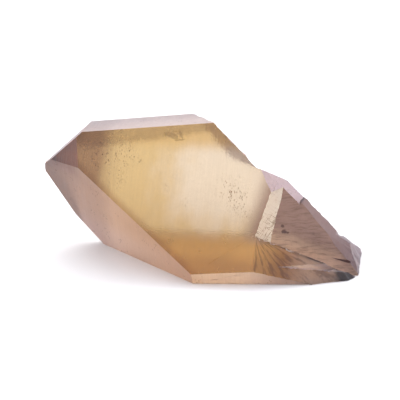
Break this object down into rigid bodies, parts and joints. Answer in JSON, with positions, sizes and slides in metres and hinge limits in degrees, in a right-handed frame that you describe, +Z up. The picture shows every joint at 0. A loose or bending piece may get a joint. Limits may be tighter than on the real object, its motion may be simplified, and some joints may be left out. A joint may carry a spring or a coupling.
{
  "type": "citrine crystal point",
  "caption": "Natural citrine quartz crystal lying on a prism face, six-sided point at one end, uneven break at the other.",
  "frame": {"origin": "middle of the bounding box at the level of the prism face that the crystal rests on", "axes": "point towards -X, broken end towards +X, large front prism face towards -Y, +Z up"},
  "size_m": [0.06, 0.0318, 0.0245],
  "materials": {
    "citrine": "clear golden quartz, prism faces glossy with fine growth lines, faces of the point frosted, break rough and shell-like"
  },
  "bodies": {
    "root": {"crystal": "citrine"}
  },
  "joints": []
}
